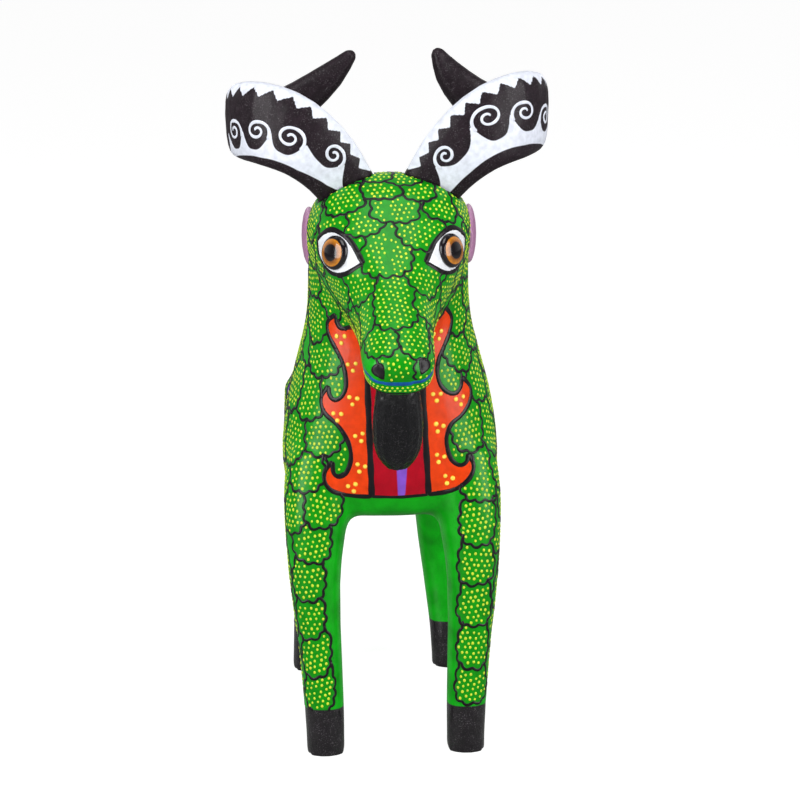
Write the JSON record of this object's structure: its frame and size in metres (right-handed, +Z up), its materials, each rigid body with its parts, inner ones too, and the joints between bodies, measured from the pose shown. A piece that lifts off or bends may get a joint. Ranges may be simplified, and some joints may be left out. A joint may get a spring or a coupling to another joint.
{
  "type": "alebrije goat figure",
  "caption": "Free-standing carved and painted wooden goat on four legs, with coiled band-shaped horns, leaf-shaped ears and a tail that pull out on dowels, and a glued beard.",
  "frame": {"origin": "on the floor, at the middle of the box that holds the whole figure", "axes": "+Z up; the figure faces -Y; +X is the animal's own left"},
  "size_m": [0.1012, 0.1784, 0.2178],
  "materials": {
    "body_paint": "semi-gloss varnished acrylic paint: green scales with lime dots and black outlines, flame panels, black hooves",
    "horn_paint": "satin acrylic paint, black with white wave scrolls and saw teeth",
    "ear_paint": "semi-gloss mauve acrylic paint with a black edge",
    "tail_paint": "semi-gloss acrylic paint, green with a black tip",
    "beard_paint": "gloss black acrylic paint over carved strands",
    "eye_glass": "polished dome over a painted amber iris",
    "dowel_wood": "bare turned wood"
  },
  "bodies": {
    "figure": {"body": "body_paint", "beard": "beard_paint", "beard_peg": "dowel_wood", "eye_left": "eye_glass", "eye_right": "eye_glass"},
    "horn_left": {"horn_left": "horn_paint", "horn_peg_left": "dowel_wood"},
    "horn_right": {"horn_right": "horn_paint", "horn_peg_right": "dowel_wood"},
    "ear_left": {"ear_left": "ear_paint", "ear_peg_left": "dowel_wood"},
    "ear_right": {"ear_right": "ear_paint", "ear_peg_right": "dowel_wood"},
    "tail": {"tail": "tail_paint", "tail_peg": "dowel_wood"}
  },
  "joints": [
    {"name": "horn_left_pull", "type": "slide", "parent": "figure", "child": "horn_left", "axis": [0.4589, -0.3411, 0.8204], "range_m": [0, 0.026]},
    {"name": "horn_right_pull", "type": "slide", "parent": "figure", "child": "horn_right", "axis": [-0.4872, -0.3411, 0.8039], "range_m": [0, 0.026]},
    {"name": "ear_left_pull", "type": "slide", "parent": "figure", "child": "ear_left", "axis": [1, 0, 0], "range_m": [0, 0.014]},
    {"name": "ear_right_pull", "type": "slide", "parent": "figure", "child": "ear_right", "axis": [-1, 0, 0], "range_m": [0, 0.014]},
    {"name": "tail_pull", "type": "slide", "parent": "figure", "child": "tail", "axis": [0, 0.8761, 0.4821], "range_m": [0, 0.018]}
  ]
}
